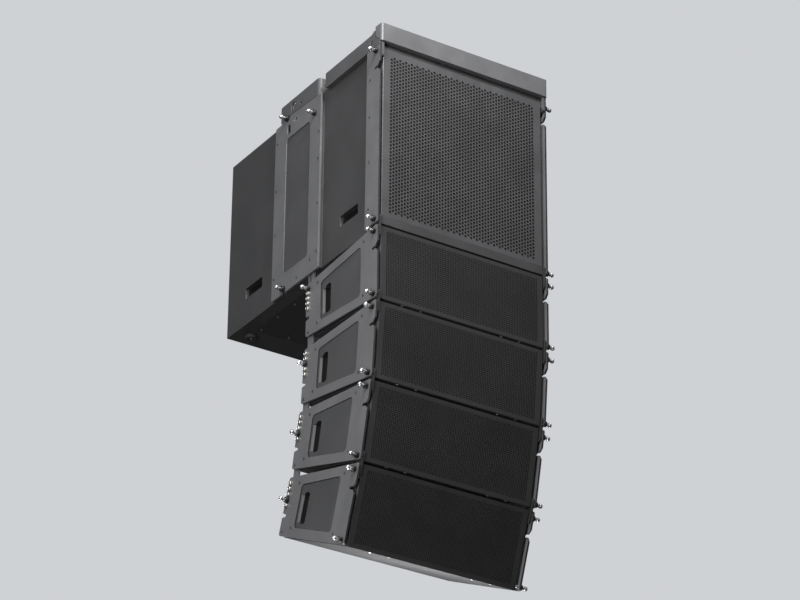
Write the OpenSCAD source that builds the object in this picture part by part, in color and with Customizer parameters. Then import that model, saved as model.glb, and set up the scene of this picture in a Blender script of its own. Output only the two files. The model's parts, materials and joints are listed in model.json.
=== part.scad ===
// Flown line array: a flying frame, a deep subwoofer and four two-way line array cabinets.
// +Z is up, the grilles face -Y, and the origin is the middle pick-up hole of the frame.

/* [Cabinets] */
// Width of every cabinet body
cab_w = 532; // [480:1:600]
// Height of the subwoofer
sub_h = 568; // [520:1:640]
// Depth of the subwoofer
sub_d = 822; // [760:1:900]
// Depth of an array cabinet
el_d = 352; // [340:1:370]
// Height from an array cabinet's upper front pin to its top edge
el_top = 19; // [17:1:22]
// Wedge of an array cabinet's top and of its bottom
el_taper = 4.7; // [3:0.1:6]
// Board thickness of the subwoofer
sub_board = 18; // [15:1:22]
// Board thickness of an array cabinet
el_board = 13; // [10:1:15]

/* [Rigging] */
// Thickness of the side plates
plate_t = 6; // [5:0.5:8]
// Space between a cabinet's side and its plate, where the links run
side_gap = 8; // [7:0.5:10]
// How far the plates stand in front of the grilles
plate_proud = 6; // [3:1:9]
// Diameter of the quick-release pins
pin_d = 8; // [6:0.5:10]
// Distance between the two pins of a front link
link_len = 38; // [34:1:44]
// Distance between the upper and lower front pins of a cabinet
pin_span = 190; // [180:1:210]
// Front pin axis behind the grille
pin_in = 9; // [8:1:14]
// Change of splay from one rear hole to the next, in degrees
splay_step = 2.4; // [2:0.1:2.6]
// Rear hole that each cabinet's splay pin is in, from 0 for parallel fronts
splay_holes = [0, 2, 3, 3];

/* [Flying frame] */
// Height of the front and rear bars
bar_h = 56; // [45:1:65]
// Depth of the front bar
bar_d = 37; // [30:1:50]
// Diameter of the pick-up holes
pick_d = 21; // [17:0.5:26]
// Distance between pick-up holes
pick_step = 50; // [40:5:60]

/* [Hidden] */
$fn = 48;
PARTS = ["cabinet", "grille", "side_plates", "splay_bushes", "links", "screws", "drivers",
         "input_panel", "pins_left", "pins_right"];

// Across the width
cab_x = cab_w / 2;
plate_x = cab_x + side_gap;
plate_out = plate_x + plate_t;
link_t = 6;
link_x = cab_x + (side_gap - link_t) / 2;
pin_r = pin_d / 2;
bore_r = pin_r + 0.05;
screw_r = 3;
eps = 0.5;

// Pick-up holes: the middle one is the origin
pick_y = 330;
pick_z = 100;
pick_count = 7;

// Splay chain: every array cabinet hangs by its front link from the cabinet above
pin_low = 13;
sub_top_pin = -22;
function splay(k) = splay_step * splay_holes[k - 1];
function tilt(k) = k == 0 ? 0 : tilt(k - 1) + splay(k);
function hinge(k) = k == 1 ? [pin_in, pin_low - sub_h]
    : hinge(k - 1) + (link_len + pin_span) * [sin(tilt(k - 1)), -cos(tilt(k - 1))];

// Side outline of an array cabinet, in (y, z) from its upper hinge pin
el_front = -pin_in;
el_rear = el_front + el_d;
low_pin_z = -link_len - pin_span;
slope = tan(el_taper);
function top_z(y) = el_top - link_len - slope * (y - el_front);
function bottom_z(y) = low_pin_z - pin_low + slope * (y - el_front);
function wedge(y0, y1, inset) = [
    [y0, top_z(y0) - inset], [y0, bottom_z(y0) + inset],
    [y1, bottom_z(y1) + inset], [y1, top_z(y1) - inset]];
plate_rear = el_rear + 7;
window_y = [68, 274];
window_margin = 28;
el_screws = [[53, -46], [53, -210], [290, -65], [290, -190]];
handle_y = 238;
handle_z = -136;
handle_w = 28;
handle_h = 88;
panel_x = 277.5;
el_baffle = 35;
woofer_x = 162;
woofer_r = 83;
horn_w = 124;
horn_h = 176;

// Rear splay holes of an array cabinet and the rear link's fixing in the cabinet above
splay_y = 336;
splay_z0 = -66;
splay_pitch = 15.5;
splay_count = 5;
bush_r = 6.6;
bush_out = 7;
rear_bolt = [336, 28];
max_splay = splay_step * (splay_count - 1);
function hole_z(i) = splay_z0 - splay_pitch * i;

// Subwoofer, in (y, z) from its grille and its top
grille_top = 12;
grille_low = 543;
grille_t = 2;
tray = 20;
front_plate_y = 60;
mid_y = [303, 552];
window_sub = [361, 491, -72, -510];
sub_handle_z = -467;
sub_handles_y = [165, 677];
sub_handle_w = 94;
sub_handle_h = 38;
handle_depth = 30;
sub_driver_r = 193;
sub_driver_z = -278;
sub_baffle = 60;
front_screws = [for (z = [-100, -219, -362, -510]) [42, z]];
mid_screws = concat([for (z = [-130, -219, -362, -515]) [311, z]],
                    [for (z = [-63, -219, -362, -505]) [540, z]], [[415, -553]]);
frame_pin = [333, -62];
notch_pin = [487, -4];
stow_pin = [486, -560];
access = [380, 735];
access_x = 226;

// Flying frame, in (y, z) from the subwoofer's grille and top
bar_z = 4;
bar_y = -14;
rear_y = [316, 524];
rear_top = 49;
wall = 5;
rail_low = -5;
rail_top = 43;
rail_end = 281;
post_r = 12;
spine_t = 16;
tie_x = [238, 262];
tie_z = [6, 32];

// ---- helpers ----
function unit(v) = v / norm(v);

// Points of a corner at p between its neighbours a and b, rounded to radius r
function corner(p, a, b, r, n = 6) =
    let (u = unit(a - p), w = unit(b - p), half = acos(u * w) / 2,
         c = p + unit(u + w) * r / sin(half),
         s = p + u * r / tan(half) - c, e = p + w * r / tan(half) - c,
         a0 = atan2(s[1], s[0]), a1 = atan2(e[1], e[0]),
         turn = (a1 - a0 + 900) % 360 - 180)
    [for (i = [0:n]) c + r * [cos(a0 + turn * i / n), sin(a0 + turn * i / n)]];

function rounded(pts, r) = let (n = len(pts))
    [for (i = [0:n - 1]) each corner(pts[i], pts[(i + n - 1) % n], pts[(i + 1) % n], r)];

function box_points(y0, y1, z0, z1) = [[y0, z0], [y1, z0], [y1, z1], [y0, z1]];

// A shape drawn in (y, z), extruded across from x0 to x1
module across(x0, x1) {
    translate([x0, 0, 0]) rotate([90, 0, 90]) linear_extrude(x1 - x0) children();
}

module rod_x(x0, x1, r, at) {
    translate([x0, at[0], at[1]]) rotate([0, 90, 0]) cylinder(h = x1 - x0, r = r);
}

module both_sides() {
    children();
    mirror([1, 0, 0]) children();
}

module slot(at, along, r) {
    translate(at) circle(r = r);
    translate(at + along) circle(r = r);
    translate([min(at[0], at[0] + along[0]), at[1] - r]) square([abs(along[0]), 2 * r]);
}

module in_array() translate([0, -pick_y, -pick_z]) children();

module in_element(k) {
    in_array() translate([0, hinge(k)[0], hinge(k)[1]]) rotate([tilt(k), 0, 0]) children();
}

module at_sub_hinge() translate([0, hinge(1)[0], hinge(1)[1]]) children();

// ---- flying frame ----
module front_bar() {
    r = 7;
    color("#9a9a9a") in_array() difference() {
        translate([0, 0, bar_z]) linear_extrude(bar_h) union() {
            translate([r - plate_out, bar_y]) square([2 * (plate_out - r), bar_d]);
            translate([-plate_out, bar_y + r]) square([2 * plate_out, bar_d - 2 * r]);
            for (x = [r - plate_out, plate_out - r]) for (y = [bar_y + r, bar_y + bar_d - r])
                translate([x, y]) circle(r = r);
        }
        translate([-plate_x, bar_y + wall, bar_z + wall])
            cube([2 * plate_x, bar_d, bar_h - 2 * wall]);
        both_sides() {
            translate([link_x, bar_y + wall, bar_z - 1]) cube([plate_x - link_x, bar_d, wall + 2]);
            across(plate_x - 1, plate_out + 1)
                polygon([[-6, bar_z - 1], [-6, 9], [22, 34], [bar_d, 34], [bar_d, bar_z - 1]]);
        }
    }
}

// Outer plate of the rear bar's end, in the side plates' plane
module rear_end_plate() {
    difference() {
        polygon(concat(
            [[rear_y[0] + post_r, -7], [464, 1], [508, 1]],
            corner([rear_y[1], -7], [508, 1], [rear_y[1], rear_top], 3),
            corner([rear_y[1], rear_top], [rear_y[1], -7], [400, rear_top], 5),
            [[rear_y[0] + post_r, rear_top]]));
        translate([462, 12]) circle(r = 5.5);
        translate([456.5, 12]) square([11, 17]);
        translate([461, 30]) circle(r = 5.5);
        polygon([[461, 35.5], [448, 37], [444, 20], [449, 19], [453, 30], [461, 29]]);
        translate([415, 14]) circle(r = 4.5);
        translate(notch_pin) circle(r = 10);
    }
}

// Inner plate that reaches down between the cabinet and the side plates
module rear_end_tongue() {
    difference() {
        union() {
            polygon(rounded([[rear_y[0] + 8, 30], [rear_y[0] + 8, -80], [352, -80], [364, 30]], 6));
            polygon(rounded([[464, 8], [470, -22], [504, -22], [510, 8]], 5));
        }
        translate(frame_pin) circle(r = bore_r);
        translate(notch_pin) circle(r = bore_r);
    }
}

module rear_bar() {
    r = post_r;
    color("#6b6b6b") in_array() difference() {
        union() {
            both_sides() {
                across(plate_x, plate_out) rear_end_plate();
                across(link_x, plate_x) rear_end_tongue();
                // Rounded front corner, over the cabinet's top and down its side
                difference() {
                    translate([plate_out - r, rear_y[0] + r, -7]) cylinder(h = rear_top + 7, r = r);
                    translate([0, rear_y[0] - 1, -8]) cube([link_x, 2 * r + 2, 9]);
                }
            }
            translate([r - plate_out, rear_y[0], 1])
                cube([2 * (plate_out - r), wall, rear_top - 1]);
            translate([-plate_x, rear_y[1] - 40, 1]) cube([2 * plate_x, 30, wall]);
        }
        translate([-spine_t / 2, rear_y[0] - 1, 0]) cube([spine_t, rear_y[1], bar_h + 2]);
        both_sides() for (x = tie_bolts()) translate([x, rear_y[0] - 1, tie_bolt_z])
            rotate([-90, 0, 0]) cylinder(h = wall + 2, r = screw_r);
    }
}

function tie_bolts() = [tie_x[0] + 9];
tie_bolt_z = 19;

module side_rails() {
    color("#6b6b6b") in_array() both_sides() difference() {
        union() {
            // Tongue in the side gap, up into the front bar
            across(link_x, plate_x) polygon(concat(
                [[bar_y + wall, bar_z + bar_h - wall]],
                corner([bar_y + wall, -46], [bar_y + wall, 40], [21, -46], 6),
                corner([21, -46], [bar_y + wall, -46], [21, 1], 6),
                [[21, bar_z + bar_h - wall]]));
            // Rail in the side plates' plane
            across(plate_x, plate_out) polygon(concat(
                [[-plate_proud, bar_z], [-plate_proud, rail_low]],
                corner([rail_end, rail_low], [0, rail_low], [rail_end, rail_top], 3),
                corner([rail_end, rail_top], [rail_end, rail_low], [60, rail_top], 3),
                [[38, rail_top], [23, bar_z + bar_h - wall - 4], [23, 34], [22, 33], [-5, 8],
                 [-5, bar_z]]));
            // Lower flange, turned in to the cabinet's side
            translate([cab_x + 0.3, 20, rail_low]) cube([plate_x + 1 - cab_x, rail_end - 24, 4]);
            translate([tie_x[0], 150, tie_z[0]])
                cube([plate_x + 1 - tie_x[0], 60, tie_z[1] - tie_z[0]]);
            translate([tie_x[0], 150, tie_z[0]])
                cube([tie_x[1] - tie_x[0], rear_y[0] - 150, tie_z[1] - tie_z[0]]);
        }
        rod_x(link_x - 1, plate_out + 1, bore_r, [pin_in, sub_top_pin]);
        across(plate_x - 1, plate_out + 1)
            polygon(rounded([[37, 9], [44, 12], [37.5, 26], [30.5, 23]], 3));
        for (x = tie_bolts()) translate([x, rear_y[0] - 25, tie_bolt_z])
            rotate([-90, 0, 0]) cylinder(h = 26, r = screw_r);
    }
}

module spine() {
    end = rear_y[1];
    color("#7d7d7d") in_array() difference() {
        across(-spine_t / 2, spine_t / 2) polygon(concat(
            [[bar_y + wall, bar_z + wall], [bar_y + wall, bar_z + bar_h - wall],
             [30, bar_z + bar_h - wall]],
            corner([150, 130], [30, bar_z + bar_h - wall], [400, 130], 30),
            corner([510, 130], [400, 130], [end, 90], 20),
            [[end, 90], [end, bar_z + wall]]));
        for (i = [0:pick_count - 1])
            rod_x(-spine_t, spine_t, pick_d / 2, [pick_y + (i - 3) * pick_step, pick_z]);
    }
}

module frame_bolts() {
    color("silver") in_array() both_sides() for (x = tie_bolts())
        translate([x, rear_y[0] + wall, tie_bolt_z]) rotate([90, 0, 0]) {
            cylinder(h = wall + 22, r = screw_r);
            translate([0, 0, -6]) cylinder(h = 6, r = 6, $fn = 6);
        }
}

// ---- subwoofer ----
// Side board of the subwoofer, with its handle cut-outs
module sub_side_board() {
    difference() {
        union() {
            translate([cab_x - sub_board, 0, -sub_h]) cube([sub_board, sub_d, sub_h]);
            across(cab_x - 1, plate_x - 0.1) sub_pad_outline();
            across(cab_x - 1, panel_x) polygon(rounded(box_points(window_sub[0] + 1.2,
                window_sub[1] - 1.2, window_sub[3] + 1.2, window_sub[2] - 1.2), 12));
        }
        for (y = sub_handles_y) across(cab_x - sub_board - 1, cab_x + 1)
            handle_outline([y, sub_handle_z], 0);
        for (p = front_screws) rod_x(cab_x - 12, cab_x + 1, screw_r, p);
        for (p = mid_screws) rod_x(cab_x - 12, plate_x + 1, screw_r, p);
        translate([cab_x - grille_t - 1.2, -1, -grille_low])
            cube([10, tray + 1, grille_low - grille_top]);
        translate([cab_x - sub_board - 1, -1, -grille_low])
            cube([sub_board + 2, grille_t + 1.2, grille_low - grille_top]);
    }
}

// Pad behind the middle side plate, notched for the tongues, links and pins beside it
module sub_pad_outline() {
    difference() {
        polygon(rounded(box_points(mid_y[0] + 1.5, mid_y[1] - 1.5, -570, -11), 3));
        translate([322.5, -84]) square([44, 90]);
        translate([460, -64]) square([54, 70]);
        translate([329, -580]) square([38, 69]);
        translate([469, -580]) square([34, 69]);
    }
}

module handle_outline(at, inset) {
    translate(at) polygon(rounded(box_points(
        inset - sub_handle_w / 2, sub_handle_w / 2 - inset,
        inset - sub_handle_h / 2, sub_handle_h / 2 - inset), 6 - inset / 2));
}

module sub_cabinet() {
    b = sub_board;
    x0 = cab_x - b - 0.1;
    color("#2b2b2b") in_array() {
        both_sides() sub_side_board();
        difference() {
            translate([-x0, 0, -sub_h]) cube([2 * x0, sub_d, sub_h]);
            translate([-cab_x, sub_baffle + b, b - sub_h])
                cube([cab_w, sub_d - sub_baffle - 2 * b, sub_h - 2 * b]);
            translate([-cab_x, -1, -grille_low + 2])
                cube([cab_w, sub_baffle + 1, grille_low - grille_top - 4]);
            // Seat of the grille tray
            translate([-cab_x, -1, -grille_low]) difference() {
                cube([cab_w, tray + 1, grille_low - grille_top]);
                translate([0, grille_t + 1.2, -1]) cube([cab_w, tray, grille_low]);
            }
            translate([0, sub_baffle - 1, sub_driver_z]) rotate([-90, 0, 0])
                cylinder(h = b + 2, r = sub_driver_r - 17);
            both_sides() translate([206, sub_baffle - 1, -450]) cube([34, b + 2, 344]);
            translate([-access_x, access[0], -sub_h - 1])
                cube([2 * access_x, access[1] - access[0], 10]);
            translate([-access_x + 20, access[0] + 20, -sub_h - 1])
                cube([2 * access_x - 40, access[1] - access[0] - 40, b + 2]);
            translate([-135, sub_d - 3, -280]) cube([270, 4, 170]);
            translate([-115, sub_d - b - 1, -260]) cube([230, b + 2, 130]);
        }
    }
}

module sub_grille() {
    color("#4a4a4a") in_array() difference() {
        translate([-cab_x, 0, -grille_low + eps]) cube([cab_w, tray, grille_low - grille_top - 2 * eps]);
        translate([grille_t - cab_x, grille_t, -grille_low])
            cube([cab_w - 2 * grille_t, tray, grille_low]);
    }
}

// A notch with a flared mouth at the edge y, running in by depth
module plate_hook(y, z, depth, flare = 17) {
    s = sign(depth);
    slot([y, z], [depth - s * 4.5, 0], 4.5);
    polygon([[y - s, z - flare], [y - s, z + flare], [y + 10 * s, z + 4], [y + 10 * s, z - 4]]);
}

module sub_front_plates() {
    color("#6b6b6b") in_array() both_sides() difference() {
        union() {
            across(plate_x, plate_out) difference() {
                polygon(rounded(box_points(-plate_proud, front_plate_y, 2 - sub_h, rail_low - 1), 3));
                plate_hook(-plate_proud, sub_top_pin - 53, 27);
            }
            for (p = front_screws) rod_x(cab_x, plate_x + 1, 7, p);
        }
        for (p = front_screws) rod_x(cab_x - 1, plate_out + 1, screw_r, p);
        rod_x(plate_x - 1, plate_out + 1, bore_r, [pin_in, sub_top_pin]);
        rod_x(plate_x - 1, plate_out + 1, bore_r, [pin_in, pin_low - sub_h]);
    }
}

module sub_mid_plates() {
    w = window_sub;
    bolt = hinge(1) + rear_bolt;
    color("#6b6b6b") in_array() both_sides() difference() {
        across(plate_x, plate_out) difference() {
            polygon(concat(
                corner([mid_y[0], -572], [400, -572], [mid_y[0], 0], 6),
                [[mid_y[0], -9.5], [464, -1], [504, -1], [524, -9]],
                corner([mid_y[1], -9.5], [524, -9], [mid_y[1], -572], 6),
                corner([mid_y[1], -572], [mid_y[1], -9], [400, -572], 6)));
            polygon(rounded(box_points(w[0], w[1], w[3], w[2]), 13));
            translate(notch_pin) circle(r = 10);
            translate(notch_pin - [10, 0]) square([20, 20]);
            translate(stow_pin) circle(r = 10);
            translate(stow_pin - [10, 20]) square([20, 20]);
            polygon(rounded(box_points(470, 488, -58, -28), 7));
            translate([440, -28]) circle(r = 6);
        }
        for (p = mid_screws) rod_x(plate_x - 1, plate_out + 1, screw_r, p);
        rod_x(plate_x - 1, plate_out + 1, bore_r, frame_pin);
        rod_x(plate_x - 1, plate_out + 1, screw_r, bolt);
    }
}

// Recessed handle cups, their front and rear edges sloped outwards
module sub_handles() {
    deep = handle_depth;
    color("#3a3a3a") in_array() both_sides() for (y = sub_handles_y) difference() {
        across(cab_x - deep, cab_x) handle_outline([y, sub_handle_z], 0);
        across(cab_x - deep + 3, cab_x + 1) handle_outline([y, sub_handle_z], 4);
        translate([0, y, sub_handle_z + 3 - sub_handle_h / 2]) linear_extrude(sub_handle_h - 6)
            polygon([[cab_x - 9, 0], [cab_x - 9, 4 - sub_handle_w / 2],
                     [cab_x + 1, -sub_handle_w / 2 - 0.5], [cab_x + 1, sub_handle_w / 2 + 0.5],
                     [cab_x - 9, sub_handle_w / 2 - 4]]);
    }
}

// A cone driver of outer radius r, its flange on the plane z = 0 and facing +Z
module cone_driver(r) {
    rotate_extrude($fn = 64) polygon([[0.89 * r, 0], [r, 0], [r, 6], [0.89 * r, 6]]);
    rotate_extrude($fn = 64) polygon([[0.85 * r, -1], [0.885 * r, -1], [0.885 * r, 5],
        [0.86 * r, 8], [0.83 * r, 9], [0.8 * r, 5], [0.3 * r, -0.3 * r], [0.26 * r, -0.24 * r],
        [0.12 * r, -0.2 * r], [0, -0.18 * r], [0, -0.2 * r], [0.26 * r, -0.32 * r],
        [0.33 * r, -0.33 * r], [0.82 * r, 3]]);
    rotate_extrude($fn = 64) polygon([[0.84 * r, -1.5], [0.88 * r, -1.5], [0.88 * r, -8],
        [0.5 * r, -0.42 * r], [0.5 * r, -0.5 * r], [0.2 * r, -0.5 * r], [0.2 * r, -0.44 * r],
        [0.45 * r, -0.42 * r]]);
    translate([0, 0, -0.72 * r]) cylinder(h = 0.215 * r, r = 0.52 * r);
}

module sub_driver() {
    color("#1c1c1c") in_array() translate([0, sub_baffle, sub_driver_z]) rotate([90, 0, 0])
        cone_driver(sub_driver_r);
}

module sub_access_panel() {
    color("#333333") in_array() difference() {
        translate([eps - access_x, access[0] + eps, -sub_h])
            cube([2 * (access_x - eps), access[1] - access[0] - 2 * eps, 9]);
        for (p = access_screws) translate([p[0], p[1], -sub_h - 1]) cylinder(h = 11, r = screw_r);
    }
}

access_screws = concat(
    [for (s = [-1, 1]) for (i = [0:3]) [s * (access_x - 14), 440 + 93 * i]],
    [for (x = [-120, -40, 40, 120]) for (y = [394, 719]) [x, y]]);

module sub_feet() {
    color("#151515") in_array() for (s = [-1, 1]) translate([s * 218, 768, -sub_h - 12])
        difference() {
            rotate_extrude() polygon([[4, 12], [4, 0], [15, 0], [18, 3], [19, 12]]);
            translate([0, 0, -1]) cylinder(h = 6, r = 9);
        }
}

module side_screw(p) {
    rod_x(cab_x - 11, plate_out, screw_r, p);
    difference() {
        rod_x(plate_out, plate_out + 1.6, 4.6, p);
        rod_x(plate_out + 0.6, plate_out + 4, 2.2, p);
    }
}

module sub_screws() {
    bolt = hinge(1) + rear_bolt;
    color("#3a3a3a") in_array() {
        both_sides() {
            for (p = concat(front_screws, mid_screws)) side_screw(p);
            rod_x(link_x, plate_out, screw_r, bolt);
            rod_x(plate_out, plate_out + 1.6, 5, bolt);
        }
        for (p = access_screws) translate([p[0], p[1], -sub_h - 2.5]) {
            cylinder(h = 2.5, r = 5.5);
            cylinder(h = 11.5, r = screw_r);
        }
    }
}

module connectors(w, count) {
    for (i = [0:count - 1]) translate([(i - (count - 1) / 2) * w, 0, 0]) children();
}

module sub_input_panel() {
    color("#3d3d3d") in_array() translate([0, sub_d - 3, -195]) {
        difference() {
            translate([-135, 0, -85]) cube([270, 3, 170]);
            connectors(60, 4) rotate([-90, 0, 0]) translate([0, 0, -1]) cylinder(h = 5, r = 12);
        }
        connectors(60, 4) rotate([-90, 0, 0]) translate([0, 0, -14]) difference() {
            cylinder(h = 16, r = 12);
            translate([0, 0, 3]) cylinder(h = 14, r = 9.5);
            translate([0, 0, 2]) cylinder(h = 2, r = 5);
        }
    }
}

module front_link_outline() {
    polygon(rounded([[-14, 14], [-14, -58], [14, -58], [14, 14]], 10));
}

// Slot of a rear link: the path of the splay pin in hole i about the hinge
module splay_path(i, r) {
    at = [splay_y, hole_z(i)];
    radius = norm(at);
    start = atan2(at[1], at[0]);
    steps = 12;
    turns = [for (j = [0:steps]) start + max_splay * j / steps];
    for (a = [start, start + max_splay]) translate(radius * [cos(a), sin(a)]) circle(r = r);
    polygon(concat(
        [for (j = [0:steps]) (radius - r) * [cos(turns[j]), sin(turns[j])]],
        [for (j = [steps:-1:0]) (radius + r) * [cos(turns[j]), sin(turns[j])]]));
}

module rear_link(i) {
    across(link_x, link_x + link_t) difference() {
        union() {
            polygon(rounded(box_points(splay_y - 13, splay_y + 13, hole_z(i) - 13, rear_bolt[1] + 14), 7));
            splay_path(i, 12);
        }
        splay_path(i, pin_r + 0.6);
        translate(rear_bolt) circle(r = screw_r);
    }
}

module stow_link() {
    across(link_x, link_x + link_t) difference() {
        polygon(rounded(box_points(stow_pin[0] - 14, stow_pin[0] + 14,
            stow_pin[1] - 6, stow_pin[1] + 46), 5));
        translate(stow_pin) circle(r = bore_r);
    }
}

module sub_links() {
    color("#6b6b6b") in_array() both_sides() {
        at_sub_hinge() rear_link(splay_holes[0]);
        stow_link();
    }
}

// A quick-release pin: shank, a cup collar that fits over a bush, neck and a domed head
module quick_pin(at) {
    cup = plate_out + bush_out + 0.8;
    translate([0, at[0], at[1]]) rotate([0, 90, 0]) rotate_extrude() polygon([
        [0, cab_x + 1], [pin_r - 1, cab_x + 1], [pin_r, cab_x + 2], [pin_r, cup],
        [bush_r + 0.4, cup], [bush_r + 0.4, plate_out + 0.8], [bush_r + 1.6, plate_out + 0.8],
        [bush_r + 1.6, cup + 2], [4.5, cup + 2], [4.5, plate_out + 17],
        [5.5, plate_out + 18], [6.3, plate_out + 20], [6.3, plate_out + 24], [5, plate_out + 27],
        [2.5, plate_out + 28], [0, plate_out + 28.3]]);
}

frame_pins = [[pin_in, sub_top_pin], frame_pin, notch_pin];
sub_pins = [[pin_in, pin_low - sub_h], stow_pin];

module frame_pins_right() {
    color("#c8c8c8") in_array() for (p = frame_pins) quick_pin(p);
}

module frame_pins_left() mirror([1, 0, 0]) frame_pins_right();

module sub_pins_right() {
    color("#c8c8c8") in_array() for (p = sub_pins) quick_pin(p);
}

module sub_pins_left() mirror([1, 0, 0]) sub_pins_right();

// ---- array cabinets ----
// Side board with the hand slot and the raised panel that fills the side plate's window
module el_side_board() {
    rim = 10;
    difference() {
        union() {
            across(cab_x - el_board, cab_x) polygon(wedge(el_front + grille_t, el_rear, 0));
            translate([cab_x - handle_depth - rim, handle_y - handle_w / 2 - rim,
                       handle_z - handle_h / 2 - rim])
                cube([handle_depth + rim - 1, handle_w + 2 * rim, handle_h + 2 * rim]);
            across(cab_x - 1, panel_x) polygon(rounded(wedge(window_y[0] + 1.2,
                window_y[1] - 1.2, window_margin + 1.2), 11));
        }
        across(cab_x - handle_depth, panel_x + 1)
            polygon(rounded(box_points(handle_y - handle_w / 2, handle_y + handle_w / 2,
                handle_z - handle_h / 2, handle_z + handle_h / 2), 9));
        // Finger scoop behind the slot
        translate([0, handle_y + handle_w / 2, handle_z + 6 - handle_h / 2])
            linear_extrude(handle_h - 12)
            polygon([[panel_x - 12, -1], [panel_x - 12, 0], [panel_x, 13], [panel_x + 1, 13],
                     [panel_x + 1, -1]]);
        for (p = el_screws) rod_x(cab_x - 12, cab_x + 1, screw_r, p);
    }
}

module el_cabinet() {
    b = el_board;
    inner = el_front + el_baffle + b;
    x0 = cab_x - b - 0.1;
    color("#2b2b2b") {
        both_sides() el_side_board();
        difference() {
            across(-x0, x0) polygon(wedge(el_front + grille_t, el_rear, 0));
            across(-cab_x, cab_x) polygon(wedge(inner, el_rear - b, b));
            across(-cab_x, cab_x) polygon(wedge(el_front - 1, el_front + el_baffle, b));
            both_sides() translate([woofer_x, el_front + el_baffle - 1, -130]) rotate([-90, 0, 0])
                cylinder(h = b + 2, r = 0.9 * woofer_r);
            translate([-horn_w / 2 + 6, el_front + el_baffle - 1, -130 - horn_h / 2 + 6])
                cube([horn_w - 12, b + 2, horn_h - 12]);
            translate([-65, el_rear - b - 1, -155]) cube([130, b + 2, 50]);
        }
    }
}

module el_grille() {
    color("#3c3c3c") {
        across(-cab_x, cab_x) polygon(wedge(el_front, el_front + grille_t, 0));
        both_sides() across(cab_x - el_board - 3, cab_x - el_board - 0.5)
            polygon(wedge(el_front + grille_t, el_front + 15, el_board + 0.5));
    }
}

module el_side_plates() {
    outline = wedge(el_front - plate_proud, plate_rear, 1);
    opening = wedge(window_y[0], window_y[1], window_margin);
    color("#6b6b6b") both_sides() difference() {
        union() {
            across(plate_x, plate_out) difference() {
                polygon(rounded(outline, 8));
                polygon(rounded(opening, 12));
                plate_hook(el_front - plate_proud, -link_len - 50, 27);
                plate_hook(plate_rear, -155, -18, 7);
                for (i = [0:splay_count - 1]) translate([splay_y, hole_z(i)]) circle(r = bush_r);
            }
            for (p = el_screws) rod_x(cab_x, plate_x + 1, 8, p);
        }
        for (p = el_screws) rod_x(cab_x - 1, plate_out + 1, screw_r, p);
        for (z = [-link_len, low_pin_z]) rod_x(plate_x - 1, plate_out + 1, bore_r, [0, z]);
        rod_x(plate_x - 1, plate_out + 1, screw_r, [0, low_pin_z] + rear_bolt);
    }
}

module el_splay_bushes() {
    color("#d8d8d8") both_sides() for (i = [0:splay_count - 1])
        translate([0, splay_y, hole_z(i)]) rotate([0, 90, 0]) rotate_extrude() polygon([
            [bore_r, plate_x], [bush_r, plate_x], [bush_r, plate_out + bush_out - 1.2],
            [bush_r - 1.2, plate_out + bush_out], [bore_r + 0.8, plate_out + bush_out],
            [bore_r, plate_out + bush_out - 0.8]]);
}

module el_links(k) {
    color("#6b6b6b") both_sides() {
        across(link_x, link_x + link_t) difference() {
            front_link_outline();
            circle(r = bore_r);
            translate([0, -link_len]) circle(r = bore_r);
        }
        if (k < 4) translate([0, 0, low_pin_z]) rear_link(splay_holes[k]);
    }
}

module el_screws(k) {
    bolt = [0, low_pin_z] + rear_bolt;
    color("#3a3a3a") {
        both_sides() {
            for (p = el_screws) side_screw(p);
            if (k < 4) rod_x(link_x, plate_out, screw_r, bolt);
            if (k < 4) rod_x(plate_out, plate_out + 1.6, 5, bolt);
        }
        for (x = [-190, -131, 131, 190]) translate([x, 0, bottom_z(0)]) rotate([el_taper, 0, 0])
            translate([0, 0, -1.5]) cylinder(h = 1.5, r = 4);
    }
}

module horn() {
    depth = 62;
    half = horn_w / 2;
    translate([0, 0, -horn_h / 2]) difference() {
        union() {
            translate([-half, -4, 0]) cube([horn_w, 4, horn_h]);
            translate([-half + 7, 0, 7]) cube([horn_w - 14, depth, horn_h - 14]);
        }
        translate([0, 0, 12]) linear_extrude(horn_h - 24) polygon(concat(
            [for (t = [0:0.125:1]) [-10 - 44 * pow(1 - t, 1.6), -5 + (depth + 6) * t]],
            [for (t = [1:-0.125:0]) [10 + 44 * pow(1 - t, 1.6), -5 + (depth + 6) * t]]));
    }
    for (z = [-40, 40]) translate([0, depth, z]) rotate([-90, 0, 0]) cylinder(h = 34, r = 28);
}

module el_drivers() {
    color("#1c1c1c") translate([0, el_front + el_baffle, -130]) {
        for (s = [-1, 1]) translate([s * woofer_x, 0, 0]) rotate([90, 0, 0]) cone_driver(woofer_r);
        horn();
    }
}

module el_input_panel() {
    color("#3d3d3d") translate([0, el_rear, -130]) {
        difference() {
            translate([-75, 0, -33]) cube([150, 3, 66]);
            connectors(50, 2) rotate([-90, 0, 0]) translate([0, 0, -1]) cylinder(h = 5, r = 12);
        }
        connectors(50, 2) rotate([-90, 0, 0]) translate([0, 0, -11]) difference() {
            cylinder(h = 16, r = 12);
            translate([0, 0, 3]) cylinder(h = 14, r = 9.5);
            translate([0, 0, 2]) cylinder(h = 2, r = 5);
        }
    }
}

module el_pins_right(k) {
    pins = [[0, -link_len], [0, low_pin_z], [splay_y, hole_z(splay_holes[k - 1])]];
    color("#c8c8c8") for (p = pins) quick_pin(p);
}

module el_pins_left(k) mirror([1, 0, 0]) el_pins_right(k);

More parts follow.
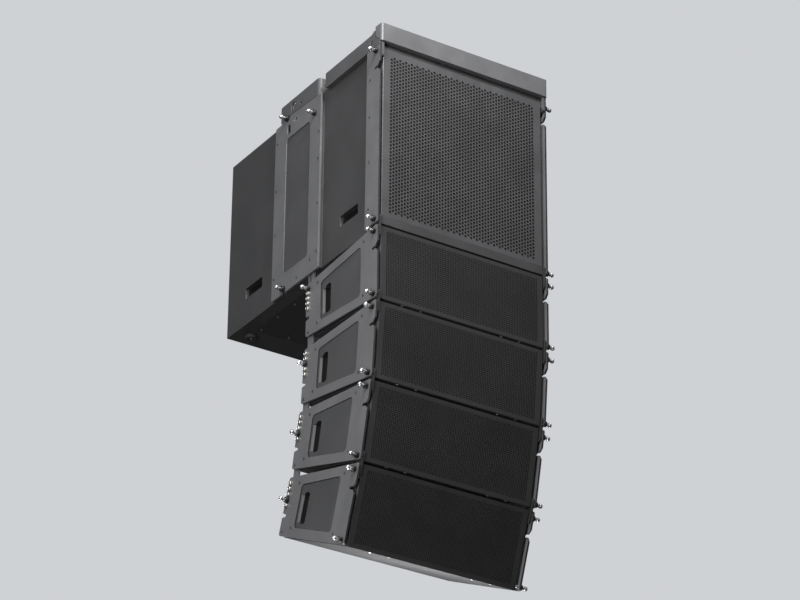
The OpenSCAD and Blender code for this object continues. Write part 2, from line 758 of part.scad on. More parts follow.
// ---- drawing ----
front_bar();
rear_bar();
side_rails();
spine();
frame_bolts();
sub_cabinet();
sub_grille();
sub_front_plates();
sub_mid_plates();
sub_handles();
sub_driver();
sub_access_panel();
sub_feet();
sub_screws();
sub_input_panel();
sub_links();
frame_pins_left();
frame_pins_right();
sub_pins_left();
sub_pins_right();
for (k = [1:4]) {
    in_element(k) el_cabinet();
    in_element(k) el_grille();
    in_element(k) el_side_plates();
    in_element(k) el_splay_bushes();
    in_element(k) el_links(k);
    in_element(k) el_screws(k);
    in_element(k) el_drivers();
    in_element(k) el_input_panel();
    in_element(k) el_pins_left(k);
    in_element(k) el_pins_right(k);
}
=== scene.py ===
import json
import math

import bmesh
import bpy
import numpy as np
from mathutils import Matrix, Vector


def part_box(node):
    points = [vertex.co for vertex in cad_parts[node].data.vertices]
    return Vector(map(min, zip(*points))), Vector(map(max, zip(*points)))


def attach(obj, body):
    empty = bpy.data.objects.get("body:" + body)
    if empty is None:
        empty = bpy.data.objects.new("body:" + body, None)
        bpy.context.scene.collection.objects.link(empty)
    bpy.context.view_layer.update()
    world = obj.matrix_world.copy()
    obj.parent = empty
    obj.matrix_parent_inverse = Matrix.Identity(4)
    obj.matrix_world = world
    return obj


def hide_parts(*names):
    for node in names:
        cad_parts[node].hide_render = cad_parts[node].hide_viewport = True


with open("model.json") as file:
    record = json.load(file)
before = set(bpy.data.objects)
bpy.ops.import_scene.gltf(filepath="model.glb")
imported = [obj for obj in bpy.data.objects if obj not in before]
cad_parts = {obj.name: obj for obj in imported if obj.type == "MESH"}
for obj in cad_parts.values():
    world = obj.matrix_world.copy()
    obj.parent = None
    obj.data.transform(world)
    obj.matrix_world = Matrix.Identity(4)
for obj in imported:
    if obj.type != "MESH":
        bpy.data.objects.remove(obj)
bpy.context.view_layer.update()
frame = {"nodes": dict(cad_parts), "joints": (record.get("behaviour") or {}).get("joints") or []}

nodes = frame["nodes"]
RX = {}
for joint in frame["joints"]:
    if joint["name"].endswith("_splay"):
        RX[joint["name"][:3]] = Vector(joint["pos_m"])
TILT = {"el1": 0.0, "el2": 4.8, "el3": 12.0, "el4": 19.2}
ELEMENTS = ["el1", "el2", "el3", "el4"]
SIDES = (("left", -1), ("right", 1))


def element_matrix(name):
    """From an array cabinet's own frame, at its upper hinge, to the row frame."""
    return Matrix.Translation(RX[name]) @ Matrix.Rotation(math.radians(TILT[name]), 4, "X")


# ---------------------------------------------------------------- camera

def look():
    cam = bpy.data.cameras.new("camera")
    cam.sensor_width = 36
    cam.lens = 154.94
    cam.clip_end = 100
    obj = bpy.data.objects.new("camera", cam)
    bpy.context.scene.collection.objects.link(obj)
    yaw, pitch, roll = (math.radians(a) for a in (-32.546, 27.798, -0.55))
    turn = Matrix.Rotation(yaw, 3, "Z") @ Matrix.Rotation(pitch, 3, "X") @ Matrix.Rotation(roll, 3, "Y")
    right, ahead, up = turn.col
    axes = Matrix((right, up, -ahead)).transposed()
    obj.matrix_world = Matrix.Translation((-4.58643, -7.19977, -5.18035)) @ axes.to_4x4()
    bpy.context.scene.camera = obj


look()


# ---------------------------------------------------------------- materials

class Maker:
    """Builds a material's nodes one at a time."""

    def __init__(self, name):
        self.mat = bpy.data.materials.new(name)
        self.mat.use_nodes = True
        self.tree = self.mat.node_tree
        self.shader = self.tree.nodes["Principled BSDF"]
        self.place = self.tree.nodes.new("ShaderNodeTexCoord").outputs["Object"]

    def add(self, kind, inputs=None, **settings):
        node = self.tree.nodes.new("ShaderNode" + kind)
        for key, value in settings.items():
            setattr(node, key, value)
        for key, value in (inputs or {}).items():
            self.join(value, node.inputs[key])
        return node

    def join(self, value, socket):
        if isinstance(value, bpy.types.NodeSocket):
            self.tree.links.new(value, socket)
        else:
            socket.default_value = value

    def noise(self, scale, detail=3, stretch=None, rough=0.55):
        place = self.place
        if stretch:
            place = self.add("Mapping", {"Vector": place, "Scale": stretch}).outputs["Vector"]
        node = self.add("TexNoise", {"Vector": place, "Scale": scale, "Detail": detail,
                                     "Roughness": rough})
        return node.outputs["Fac"]

    def ramp(self, value, low, high, out_low=0.0, out_high=1.0):
        node = self.add("MapRange", {"Value": value, "From Min": low, "From Max": high,
                                     "To Min": out_low, "To Max": out_high})
        return node.outputs["Result"]

    def mix(self, factor, a, b):
        node = self.add("Mix", data_type="RGBA")
        self.join(factor, node.inputs[0])
        self.join(a, node.inputs[6])
        self.join(b, node.inputs[7])
        return node.outputs[2]

    def math(self, kind, a, b=0.0):
        node = self.add("Math", operation=kind)
        self.join(a, node.inputs[0])
        self.join(b, node.inputs[1])
        return node.outputs[0]

    def edges(self, radius):
        """1 along sharp edges, 0 away from them, and the rounded normal."""
        bevel = self.add("Bevel", {"Radius": radius}, samples=6)
        plain = self.add("NewGeometry").outputs["Normal"]
        dot = self.add("VectorMath", operation="DOT_PRODUCT")
        self.join(bevel.outputs["Normal"], dot.inputs[0])
        self.join(plain, dot.inputs[1])
        return self.ramp(dot.outputs["Value"], 0.995, 0.93), bevel.outputs["Normal"]

    def bump(self, height, strength, distance, normal=None):
        node = self.add("Bump", {"Height": height, "Strength": strength, "Distance": distance})
        if normal is not None:
            self.join(normal, node.inputs["Normal"])
        self.join(node.outputs["Normal"], self.shader.inputs["Normal"])

    def set(self, **values):
        for key, value in values.items():
            self.join(value, self.shader.inputs[key.replace("_", " ")])
        return self.mat


def grey(v, tint=(1.0, 1.0, 1.03)):
    return (v * tint[0], v * tint[1], v * tint[2], 1.0)


def cabinet_paint(name, tone=0.05):
    """Structured sprayed coating on plywood: fine pimples, soft mottling, worn edges."""
    m = Maker(name)
    grain = m.noise(520, 4)
    blotch = m.noise(7, 3)
    worn, soft = m.edges(0.0018)
    scuff = m.ramp(m.noise(60, 5, (1, 1, 2.5)), 0.63, 0.72)
    edge = m.math("MULTIPLY", worn, m.ramp(m.noise(34, 3), 0.46, 0.6))
    base = m.mix(m.ramp(blotch, 0.35, 0.7), grey(tone * 0.86), grey(tone * 1.14))
    base = m.mix(m.ramp(grain, 0.5, 0.72, 0.0, 0.5), base, grey(tone * 1.7))
    base = m.mix(m.math("MULTIPLY", edge, 0.6), base, grey(tone * 3.2))
    base = m.mix(m.math("MULTIPLY", scuff, 0.12), base, grey(tone * 3.0))
    m.bump(grain, 0.5, 0.0011, soft)
    return m.set(Base_Color=base, Roughness=m.ramp(blotch, 0.3, 0.7, 0.5, 0.62),
                 Specular_IOR_Level=0.4)


def powder_coat(name, tone, rough=0.42, wear=0.5, radius=0.0012):
    """Powder-coated steel: orange peel, slight mottling, bright rubbed edges."""
    m = Maker(name)
    peel = m.noise(420, 2)
    blotch = m.noise(11, 4)
    worn, soft = m.edges(radius)
    edge = m.math("MULTIPLY", worn, m.ramp(m.noise(45, 4), 0.42, 0.6))
    base = m.mix(m.ramp(blotch, 0.35, 0.7), grey(tone * 0.9), grey(tone * 1.1))
    base = m.mix(m.math("MULTIPLY", edge, wear), base, grey(min(0.6, tone * 3.5)))
    streak = m.ramp(m.noise(26, 5, (1, 1, 0.22)), 0.62, 0.74, 0.0, 0.18)
    base = m.mix(streak, base, grey(tone * 1.7))
    m.bump(peel, 0.22, 0.0006, soft)
    return m.set(Base_Color=base, Roughness=m.ramp(blotch, 0.3, 0.7, rough - 0.05, rough + 0.08))


def bare_metal(name, tone, rough, tint=(1.0, 1.0, 1.02)):
    m = Maker(name)
    fine = m.noise(900, 3, (0.2, 1, 1))
    broad = m.noise(90, 3)
    base = m.mix(m.ramp(broad, 0.35, 0.7), grey(tone * 0.88, tint), grey(tone, tint))
    m.bump(fine, 0.12, 0.0003)
    return m.set(Base_Color=base, Metallic=1.0,
                 Roughness=m.ramp(broad, 0.3, 0.7, rough * 0.75, rough * 1.3))


def soft_black(name, tone, rough, scale, strength=0.4):
    m = Maker(name)
    grain = m.noise(scale, 3)
    base = m.mix(m.ramp(grain, 0.35, 0.7), grey(tone * 0.8), grey(tone * 1.25))
    m.bump(grain, strength, 0.0008)
    return m.set(Base_Color=base, Roughness=m.ramp(grain, 0.3, 0.7, rough - 0.06, rough + 0.06))


PAINT = cabinet_paint("cabinet_paint", 0.034)
INSET = cabinet_paint("side_panel_paint", 0.045)
STEEL = powder_coat("plate_coat", 0.1, wear=0.3)
BAR = powder_coat("frame_coat", 0.06, 0.5)
# Near-black coat for faces turned to the front: painted shade where little light reaches the front of
# the plates, links and tongues
FRONT_PAINTED_SHADE = powder_coat("plate_edge_coat", 0.014, 0.6, 0.15)
# Lighter copy of the frame coat for the front bar alone: painted light, standing in for the front lamp
# falling on it
FRONT_BAR_PAINTED_LIGHT = powder_coat("front_bar_coat", 0.1, 0.34)
# Near black for the insides of hand slots and handle cups: painted shade of the deep hollows
HOLLOW_PAINTED_SHADE = soft_black("hand_hollow", 0.0025, 0.95, 600)
GRILLE = powder_coat("sub_grille_coat", 0.055, 0.42, 0.2, 0.0004)
EL_GRILLE = powder_coat("array_grille_coat", 0.017, 0.55, 0.2, 0.0003)
PANEL = powder_coat("panel_coat", 0.02, 0.5)
DARK_SCREW = powder_coat("black_screw", 0.04, 0.35, 0.8, 0.0004)
# Near black for the pin collars: partly the pins' black grips, partly painted shade round the pins'
# bases
COLLAR_BLACK_AND_SHADE = soft_black("collar_black", 0.006, 0.4, 900, 0.2)
FOAM = soft_black("grille_foam", 0.004, 0.95, 1500, 0.8)
ZINC = bare_metal("bright_zinc", 0.62, 0.36, (1.0, 0.99, 0.95))
CHROME = bare_metal("pin_steel", 0.7, 0.32)
RUBBER = soft_black("rubber", 0.022, 0.7, 700)
CONE = soft_black("driver_cone", 0.012, 0.75, 240, 0.6)


def scoop_painted_light_and_shade(tone, lip_x):
    """Panel paint on the lip of the finger scoop, lighter than the panels as a painted highlight, and
    black deeper in than lip_x as painted shade.
    """
    m = Maker("finger_scoop_paint")
    across = m.add("SeparateXYZ", {"Vector": m.place}).outputs["X"]
    lip = m.ramp(m.math("ABSOLUTE", across), lip_x, lip_x + 0.0006)
    grain = m.noise(520, 4)
    pale = m.mix(m.ramp(grain, 0.4, 0.7), grey(tone * 0.9), grey(tone * 1.3))
    m.bump(grain, 0.4, 0.0009)
    return m.set(Base_Color=m.mix(lip, grey(0.004), pale), Roughness=0.6,
                 Specular_IOR_Level=m.ramp(lip, 0.0, 1.0, 0.05, 0.4))


SCOOP_PAINTED_LIGHT_AND_SHADE = scoop_painted_light_and_shade(0.07, 0.2722)


def paint(obj, *materials):
    obj.data.materials.clear()
    for m in materials:
        obj.data.materials.append(m)


# By a node's whole name or its last word; everything else is plate steel
LOOKS = {"cabinet": PAINT, "front_bar": FRONT_BAR_PAINTED_LIGHT, "rear_bar": BAR, "side_rails": BAR, "spine": BAR,
         "handles": PANEL, "panel": PANEL, "driver": CONE, "drivers": CONE, "feet": RUBBER,
         "screws": DARK_SCREW, "bolts": ZINC, "bushes": ZINC, "left": CHROME, "right": CHROME}
for name, node in nodes.items():
    kind = name if name in LOOKS else name.split("_")[-1]
    paint(node, LOOKS.get(kind, STEEL))
paint(nodes["sub_grille"], GRILLE)


def repaint(name, material, test, back=Matrix()):
    """Another material for the faces of a CAD node whose middle passes a test in its own frame."""
    mesh = nodes[name].data
    mesh.materials.append(material)
    slot = len(mesh.materials) - 1
    for face in mesh.polygons:
        if test(back @ face.center, face.normal):
            face.material_index = slot


# Raised panels lie outside PANEL_FACE_X, and handle cups are painted near black inside CUP_RIM_X as
# painted shade of the deep cup
PANEL_FACE_X = 0.2755
CUP_RIM_X = 0.256
# Hand slot of an array cabinet, with a margin, and the scoop behind it, in the cabinet's own frame
SLOT_X, SLOT_Y, SLOT_Z = (0.225, PANEL_FACE_X), (0.2235, 0.2525), (-0.181, -0.0915)
SCOOP_X, SCOOP_Y = (0.26, 0.2774), (SLOT_Y[1], 0.266)
# The front links end before LINK_Y, and the frame's front tongues hang below TONGUE_Z; these front parts
# are painted near black as painted shade
LINK_Y = 0.05
TONGUE_X, TONGUE_Z = 0.2735, -0.11
FACES_FRONT = -0.7


def between(value, limits):
    return limits[0] < value < limits[1]


def in_slot(c, normal):
    return between(abs(c.x), SLOT_X) and between(c.y, SLOT_Y) and between(c.z, SLOT_Z)


def in_scoop(c, normal):
    return between(abs(c.x), SCOOP_X) and between(c.y, SCOOP_Y) and between(c.z, SLOT_Z)


def on_panel(c, normal):
    return abs(c.x) > PANEL_FACE_X


def front_edge(c, normal):
    return normal.y < FACES_FRONT


for element in ELEMENTS:
    own = element_matrix(element).inverted()
    repaint(element + "_cabinet", INSET, on_panel, own)
    # The hand slot's inside is painted near black as painted shade
    repaint(element + "_cabinet", HOLLOW_PAINTED_SHADE, in_slot, own)
    # The scoop gets a painted highlight on its lip and painted shade deeper in
    repaint(element + "_cabinet", SCOOP_PAINTED_LIGHT_AND_SHADE, in_scoop, own)
    # Front ends of the links and the plates' front-facing edges get the near-black painted shade
    repaint(element + "_links", FRONT_PAINTED_SHADE, lambda c, normal: c.y < LINK_Y, own)
    repaint(element + "_side_plates", FRONT_PAINTED_SHADE, front_edge)
# The frame's front tongues get the same near-black painted shade
repaint("side_rails", FRONT_PAINTED_SHADE, lambda c, normal: abs(c.x) < TONGUE_X and c.z < TONGUE_Z)
repaint("sub_front_plates", FRONT_PAINTED_SHADE, front_edge)
repaint("sub_cabinet", INSET, on_panel)
# The deep part of each handle cup is painted near black as painted shade
repaint("sub_handles", HOLLOW_PAINTED_SHADE, lambda c, normal: abs(c.x) < CUP_RIM_X)


# ---------------------------------------------------------------- mesh helpers

def new_object(name, verts, faces, material):
    mesh = bpy.data.meshes.new(name)
    mesh.from_pydata([tuple(v) for v in verts], [], [tuple(f) for f in faces])
    mesh.materials.append(material)
    obj = bpy.data.objects.new(name, mesh)
    bpy.context.scene.collection.objects.link(obj)
    return obj


def smooth_by_angle(obj, degrees=35):
    bm = bmesh.new()
    bm.from_mesh(obj.data)
    bmesh.ops.recalc_face_normals(bm, faces=bm.faces)
    for f in bm.faces:
        f.smooth = True
    for e in bm.edges:
        e.smooth = len(e.link_faces) == 2 and e.calc_face_angle(0) < math.radians(degrees)
    bm.to_mesh(obj.data)
    bm.free()


def solids(node):
    """Lowest and highest corner of each separate solid of a CAD node, in metres."""
    co = np.array([v.co[:] for v in nodes[node].data.vertices])
    key, inverse = np.unique(np.round(co, 6), axis=0, return_inverse=True)
    inverse = inverse.ravel()
    parent = list(range(len(key)))

    def find(i):
        while parent[i] != i:
            parent[i] = parent[parent[i]]
            i = parent[i]
        return i

    for a, b in (e.vertices for e in nodes[node].data.edges):
        parent[find(int(inverse[a]))] = find(int(inverse[b]))
    groups = {}
    for i in range(len(key)):
        groups.setdefault(find(i), []).append(i)
    return [(Vector(key[g].min(0)), Vector(key[g].max(0))) for g in groups.values()]


def join_meshes(name, parts, *materials):
    """One object from (verts, faces) or (verts, faces, material number) parts."""
    verts, faces, slots = [], [], []
    for part in parts:
        start = len(verts)
        verts.extend(part[0])
        faces.extend(tuple(i + start for i in f) for f in part[1])
        slots.extend([part[2] if len(part) > 2 else 0] * len(part[1]))
    obj = new_object(name, verts, faces, materials[0])
    for m in materials[1:]:
        obj.data.materials.append(m)
    obj.data.polygons.foreach_set("material_index", slots)
    smooth_by_angle(obj)
    return obj


def lathe(profile, turn=32, closed=False):
    """A turned solid round +X from (x, radius) points; a radius may be a function of angle."""
    verts, faces = [], []
    for x, r in profile:
        for i in range(turn):
            a = 2 * math.pi * i / turn
            radius = r(a) if callable(r) else r
            verts.append((x, radius * math.cos(a), radius * math.sin(a)))
    rings = len(profile)
    for j in range(rings if closed else rings - 1):
        k = (j + 1) % rings
        for i in range(turn):
            n = (i + 1) % turn
            faces.append((j * turn + i, j * turn + n, k * turn + n, k * turn + i))
    if not closed:
        faces.append(tuple(range(turn)))
        faces.append(tuple(range((rings - 1) * turn, rings * turn))[::-1])
    return verts, faces


def place(part, matrix):
    return ([tuple(matrix @ Vector(v)) for v in part[0]],) + tuple(part[1:])


def slab(lo, hi, cell, bulge=0.0):
    """A thin sheet of foam facing -Y, divided into cells and slightly crowned towards the back."""
    nx, nz = (max(2, round((hi[i] - lo[i]) / cell)) for i in (0, 2))
    verts, faces = [], []
    for back in (0, 1):
        for i in range(nx + 1):
            for k in range(nz + 1):
                u, w = i / nx, k / nz
                deep = back * (hi[1] - lo[1]) * (0.55 + 0.45 * min(1, 12 * min(u, 1 - u, w, 1 - w)))
                verts.append((lo[0] + u * (hi[0] - lo[0]), lo[1] + deep, lo[2] + w * (hi[2] - lo[2])))
    side = (nx + 1) * (nz + 1)
    for i in range(nx):
        for k in range(nz):
            a = i * (nz + 1) + k
            quad = (a, a + nz + 1, a + nz + 2, a + 1)
            faces.append(quad)
            faces.append(tuple(side + v for v in quad[::-1]))
    rim = ([k for k in range(nz)] + [i * (nz + 1) + nz for i in range(nx)]
           + [nx * (nz + 1) + k for k in range(nz, 0, -1)] + [i * (nz + 1) for i in range(nx, 0, -1)])
    for j, a in enumerate(rim):
        b = rim[(j + 1) % len(rim)]
        faces.append((a, b, b + side, a + side))
    return verts, faces, 1


def hexagon(across_flats):
    def radius(a):
        step = math.pi / 3
        return across_flats / 2 / math.cos((a % step) - step / 2)
    return radius


# ---------------------------------------------------------------- perforated grilles

def perforated(x0, x1, z0, z1, y, thick, pitch, hole, solid):
    """Hexagonal holes in staggered columns, with solid borders (left, right, bottom, top)."""
    columns = max(1, round((x1 - x0 - solid[0] - solid[1]) / (pitch * math.sqrt(3) / 2)))
    rows = max(1, round((z1 - z0 - solid[2] - solid[3]) / pitch))
    left, low = x0 + solid[0], z0 + solid[2]
    dx = (x1 - solid[1] - left) / columns
    dz = (z1 - solid[3] - low) / (rows + 0.5)
    verts, faces = [], []
    ring = [math.radians(60 * i) for i in range(6)]

    def quad_strip(outer, inner):
        start = len(verts)
        for at in (y, y + thick):
            verts.extend((px, at, pz) for px, pz in outer)
            verts.extend((px, at, pz) for px, pz in inner)
        for i in range(6):
            n = (i + 1) % 6
            faces.append((start + i, start + 6 + i, start + 6 + n, start + n))
            faces.append((start + 12 + i, start + 12 + n, start + 18 + n, start + 18 + i))
            faces.append((start + 6 + i, start + 18 + i, start + 18 + n, start + 6 + n))

    def plain(ax, bx, az, bz):
        start = len(verts)
        for at in (y, y + thick):
            verts.extend([(ax, at, az), (bx, at, az), (bx, at, bz), (ax, at, bz)])
        faces.append((start, start + 1, start + 2, start + 3))
        faces.append((start + 7, start + 6, start + 5, start + 4))

    for c in range(columns):
        ax = left + c * dx
        offset = dz / 2 if c % 2 else 0.0
        for r in range(rows):
            az = low + r * dz + offset
            cx, cz = ax + dx / 2, az + dz / 2
            outer = [(ax + dx, cz), (ax + dx, az + dz), (ax, az + dz), (ax, cz), (ax, az), (ax + dx, az)]
            inner = [(cx + hole * math.cos(a), cz + hole * math.sin(a)) for a in ring]
            quad_strip(outer, inner)
        if c % 2:
            plain(ax, ax + dx, low, low + dz / 2)
        else:
            plain(ax, ax + dx, low + rows * dz, low + rows * dz + dz / 2)
    top = low + (rows + 0.5) * dz
    right = left + columns * dx
    plain(x0, x1, z0, low)
    plain(x0, x1, top, z1)
    plain(x0, left, low, top)
    plain(right, x1, low, top)
    return verts, faces


def channel(profile, z0, z1, thick):
    """A bent strip: a profile in (x, y) with a thickness towards +Y or inwards, along Z."""
    verts, faces = [], []
    inner = []
    for i, p in enumerate(profile):
        a = Vector(profile[max(0, i - 1)])
        b = Vector(profile[min(len(profile) - 1, i + 1)])
        t = (b - a).normalized()
        inner.append((p[0] + t.y * thick, p[1] - t.x * thick))
    n = len(profile)
    for z in (z0, z1):
        verts.extend((x, y, z) for x, y in profile)
        verts.extend((x, y, z) for x, y in inner)
    for i in range(n - 1):
        faces.append((i, i + 1, 2 * n + i + 1, 2 * n + i))
        faces.append((n + i, 3 * n + i, 3 * n + i + 1, n + i + 1))
        faces.append((i, n + i, n + i + 1, i + 1))
        faces.append((2 * n + i, 2 * n + i + 1, 3 * n + i + 1, 3 * n + i))
    faces.append((0, 2 * n, 3 * n, n))
    faces.append((n - 1, 2 * n - 1, 4 * n - 1, 3 * n - 1))
    return verts, faces


def bend(x_flat, x_edge, y, depth, r):
    """Profile from the flat front round the side and back, for the side x_edge is on."""
    s = 1 if x_edge > x_flat else -1
    pts = [(x_flat, y)]
    for i in range(7):
        a = math.pi / 2 * i / 6
        pts.append((x_edge - s * r + s * r * math.sin(a), y + r - r * math.cos(a)))
    pts.append((x_edge, y + depth))
    return pts


def sub_grille():
    lo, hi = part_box("sub_grille")
    r = 0.0035
    t = 0.0018
    parts = [perforated(lo.x + r, hi.x - r, lo.z, hi.z, lo.y, t, 0.011, 0.0047,
                        (0.0215, 0.0215, 0.0125, 0.0185))]
    for edge, flat in ((lo.x, lo.x + r), (hi.x, hi.x - r)):
        profile = bend(flat, edge, lo.y, hi.y - lo.y, r)
        thick = -t if edge < flat else t
        parts.append(channel(profile, lo.z, hi.z, -thick))
    parts.append(slab((lo.x + 0.0195, lo.y + 0.0019, lo.z + 0.0115),
                      (hi.x - 0.0195, lo.y + 0.0079, hi.z - 0.0175), 0.02))
    obj = join_meshes("sub_grille_perforated", parts, GRILLE, FOAM)
    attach(obj, "array_top")
    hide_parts("sub_grille")


def array_grille(name):
    """Grille of one array cabinet, in the cabinet's own frame and then put in place."""
    m = element_matrix(name)
    back = m.inverted()
    co = [back @ v.co for v in nodes[name + "_grille"].data.vertices]
    xs, ys, zs = ([getattr(c, a) for c in co] for a in "xyz")
    x0, x1, y0 = min(xs), max(xs), min(ys)
    z0 = min(c.z for c in co if c.y < y0 + 1e-5)
    z1 = max(c.z for c in co if c.y < y0 + 1e-5)
    r, t = 0.003, 0.0016
    z0, z1 = z0 + 0.0006, z1 - 0.0006
    parts = [perforated(x0 + r, x1 - r, z0, z1, y0, t, 0.0062, 0.0024,
                        (0.0155, 0.0155, 0.0105, 0.0105))]
    for edge, flat in ((x0, x0 + r), (x1, x1 - r)):
        profile = bend(flat, edge, y0, r + 0.0002, r)
        thick = -t if edge < flat else t
        parts.append(channel(profile, z0, z1, -thick))
    parts.append(slab((x0 + 0.0158, y0 + 0.0017, z0 + 0.0135),
                      (x1 - 0.0158, y0 + 0.0062, z1 - 0.0135), 0.02))
    parts = [place(p, m) for p in parts]
    obj = join_meshes(name + "_grille_perforated", parts, EL_GRILLE, FOAM)
    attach(obj, name)
    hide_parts(name + "_grille")


sub_grille()
for element in ELEMENTS:
    array_grille(element)


# ---------------------------------------------------------------- pins and screws

SHANK = [(0.0, 0.0018), (0.0004, 0.0026), (0.0016, 0.0034), (0.0030, 0.0039), (0.0206, 0.0040),
         (0.0228, 0.0040), (0.0230, 0.0045), (0.0291, 0.0045), (0.0297, 0.0040), (0.0303, 0.0040),
         (0.0306, 0.0050), (0.0311, 0.0057), (0.0320, 0.0062), (0.0332, 0.0063), (0.0366, 0.0063),
         (0.0382, 0.0058), (0.0394, 0.0050), (0.0403, 0.0038), (0.0406, 0.0033), (0.0404, 0.0030),
         (0.0404, 0.0028), (0.0411, 0.0025), (0.0413, 0.0016), (0.04135, 0.0004)]
COLLAR = [(0.0208, 0.0040), (0.0208, 0.0070), (0.0138, 0.0070), (0.0138, 0.0080), (0.0140, 0.0082),
          (0.0222, 0.0082), (0.0226, 0.0080), (0.0228, 0.0074), (0.0228, 0.0040)]


def pins(node, body, side):
    """Quick-release pins: bright shank and domed button, with a black cup that covers the bush; its
    black is partly the pin's black grip and partly painted shade of the hole and shadow round the pin's
    base.
    """
    parts = []
    for lo, hi in solids(node):
        y, z = (lo.y + hi.y) / 2, (lo.z + hi.z) / 2
        inner = lo.x if side > 0 else hi.x
        m = Matrix.Translation((inner, y, z)) @ Matrix.Scale(side, 4, (1, 0, 0))
        parts.append(place(lathe(SHANK, 32), m))
        parts.append(place(lathe(COLLAR, 40, True) + (1,), m))
    obj = join_meshes(node + "_turned", parts, CHROME, COLLAR_BLACK_AND_SHADE)
    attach(obj, body)
    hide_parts(node)


for side, s in SIDES:
    pins("frame_pins_" + side, "frame_pins_" + side, s)
    pins("sub_pins_" + side, "sub_pins_" + side, s)
    for element in ELEMENTS:
        pins(f"{element}_pins_{side}", f"{element}_pins_{side}", s)


def cap_screw(radius, height, key, length, shank=0.0025):
    """Low domed head on the plane x = 0 facing +X, with a hexagonal key socket."""
    hexa = hexagon(key)
    head = [(-length, 0.0004), (-length, shank * 0.8), (-length + 0.0008, shank), (0.0, shank),
            (0.0, radius), (height * 0.12, radius), (height * 0.55, radius * 0.93),
            (height * 0.88, radius * 0.76), (height, radius * 0.6),
            (height * 0.98, lambda a: hexa(a) + 0.00012),
            (height * 0.9, hexa), (height * 0.3, hexa), (height * 0.2, lambda a: hexa(a) * 0.3)]
    return lathe(head, 36)


def screws(node, body, tilt=0.0):
    """Side screws keep their side, and the others point down, square to the cabinet's bottom."""
    parts = []
    for lo, hi in solids(node):
        mid = (lo + hi) / 2
        if hi.x - lo.x > 0.0125:
            side = 1 if mid.x > 0 else -1
            outer = hi.x if side > 0 else -lo.x
            radius, length = (hi.y - lo.y) / 2, hi.x - lo.x - 0.0016
            m = Matrix.Translation((side * (outer - 0.0016), mid.y, mid.z))
            m = m @ Matrix.Rotation(math.radians(90 - 90 * side), 4, "Z")
            parts.append(place(cap_screw(radius, 0.0016, 0.0042, length), m))
            continue
        radius = (hi.x - lo.x) / 2
        down = Matrix.Rotation(math.radians(tilt), 4, "X") @ Matrix.Rotation(math.radians(90), 4, "Y")
        if node == "sub_screws":
            m = Matrix.Translation((mid.x, mid.y, lo.z + 0.0025)) @ down
            parts.append(place(cap_screw(radius, 0.0025, 0.005, 0.009) + (0,), m))
        else:
            m = Matrix.Translation(mid) @ down @ Matrix.Translation((-0.0007, 0, 0))
            parts.append(place(cap_screw(radius, 0.0014, 0.003, 0.0003, 0.002) + (1,), m))
    obj = join_meshes(node + "_heads", parts, DARK_SCREW, ZINC)
    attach(obj, body)
    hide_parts(node)


screws("sub_screws", "array_top")
for element in ELEMENTS:
    screws(element + "_screws", element, TILT[element] + 4.7)


# ---------------------------------------------------------------- feet

def feet():
    profile = [(0.0, 0.0041), (0.0, 0.0185), (0.0010, 0.0190), (0.0060, 0.0187), (0.0090, 0.0183),
               (0.0108, 0.0172), (0.0118, 0.0155), (0.0120, 0.0142), (0.0118, 0.0098),
               (0.0112, 0.0092), (0.0062, 0.0090), (0.0060, 0.0041)]
    washer = [(0.0048, 0.0026), (0.0048, 0.0082), (0.0052, 0.0086), (0.0058, 0.0086), (0.0061, 0.0082),
              (0.0061, 0.0026)]
    parts = []
    for lo, hi in solids("sub_feet"):
        m = Matrix.Translation(((lo.x + hi.x) / 2, (lo.y + hi.y) / 2, hi.z))
        m = m @ Matrix.Rotation(math.radians(90), 4, "Y")
        parts.append(place(lathe(profile, 56, True), m))
        parts.append(place(lathe(washer, 40, True) + (1,), m))
        head = m @ Matrix.Translation((0.0061, 0, 0))
        parts.append(place(cap_screw(0.0046, 0.0028, 0.004, 0.0061) + (1,), head))
    obj = join_meshes("sub_feet_turned", parts, RUBBER, ZINC)
    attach(obj, "array_top")
    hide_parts("sub_feet")


feet()


# ---------------------------------------------------------------- stage

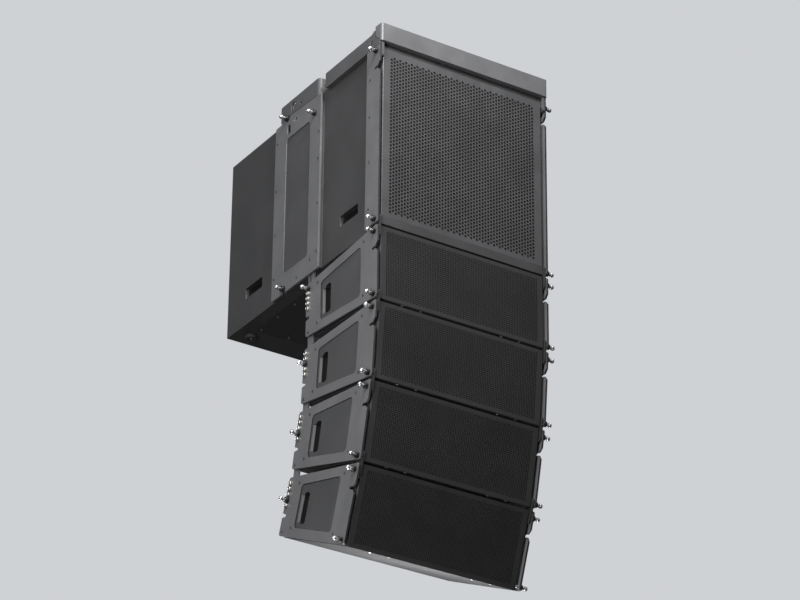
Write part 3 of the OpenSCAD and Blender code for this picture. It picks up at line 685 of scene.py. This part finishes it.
def stage():
    mesh = bpy.data.meshes.new("floor")
    size, z = 40.0, -6.0
    mesh.from_pydata([(-size, -size, z), (size, -size, z), (size, size, z), (-size, size, z)], [],
                     [(0, 1, 2, 3)])
    m = Maker("floor_paint")
    mottle = m.noise(0.6, 3)
    # Pale to look at; it throws little light back up, as a floor far below a hang does
    seen = m.add("LightPath").outputs["Is Camera Ray"]
    pale = m.mix(mottle, grey(0.72), grey(0.78))
    glow = m.ramp(seen, 0.0, 1.0, 0.0, 0.45)
    mesh.materials.append(m.set(Base_Color=m.mix(seen, grey(0.16), pale), Roughness=0.8,
                                Emission_Color=grey(0.8), Emission_Strength=glow))
    floor = bpy.data.objects.new("floor", mesh)
    bpy.context.scene.collection.objects.link(floor)
    world = bpy.data.worlds.new("studio")
    bpy.context.scene.world = world
    world.use_nodes = True
    tree = world.node_tree
    air = tree.nodes["Background"]
    air.inputs["Color"].default_value = (0.8, 0.82, 0.85, 1)
    # Pale to look at, and dimmer as a light, so that the dark coatings keep their contrast
    ray = tree.nodes.new("ShaderNodeLightPath")
    level = tree.nodes.new("ShaderNodeMapRange")
    level.inputs["To Min"].default_value = 0.36
    level.inputs["To Max"].default_value = 0.78
    tree.links.new(ray.outputs["Is Camera Ray"], level.inputs["Value"])
    tree.links.new(level.outputs["Result"], air.inputs["Strength"])
    for kind, name, at, to, size, power in (
            ("AREA", "side", (-2.2, -1.45, -0.75), (0, 0, -0.75), (0.7, 4.8), 104),
            ("AREA", "front_top", (-0.5, -1.4, 0.85), (-0.22, 0, -0.03), (0.4, 0.4), 46),
            ("SPOT", "under", (0.0, 0.9, -3.5), (0, -0.16, -1.45), 0.3, 1400)):
        light = bpy.data.lights.new(name, kind)
        light.energy = power
        if kind == "SPOT":
            light.spot_size = math.radians(15)
            light.spot_blend = 0.5
            light.shadow_soft_size = size
        else:
            light.shape = "RECTANGLE"
            light.size, light.size_y = size
        obj = bpy.data.objects.new(name, light)
        obj.location = at
        aim = Vector(to) - Vector(at)
        obj.rotation_euler = aim.to_track_quat("-Z", "Y").to_euler()
        bpy.context.scene.collection.objects.link(obj)
    bpy.context.scene.view_settings.view_transform = "Standard"


stage()
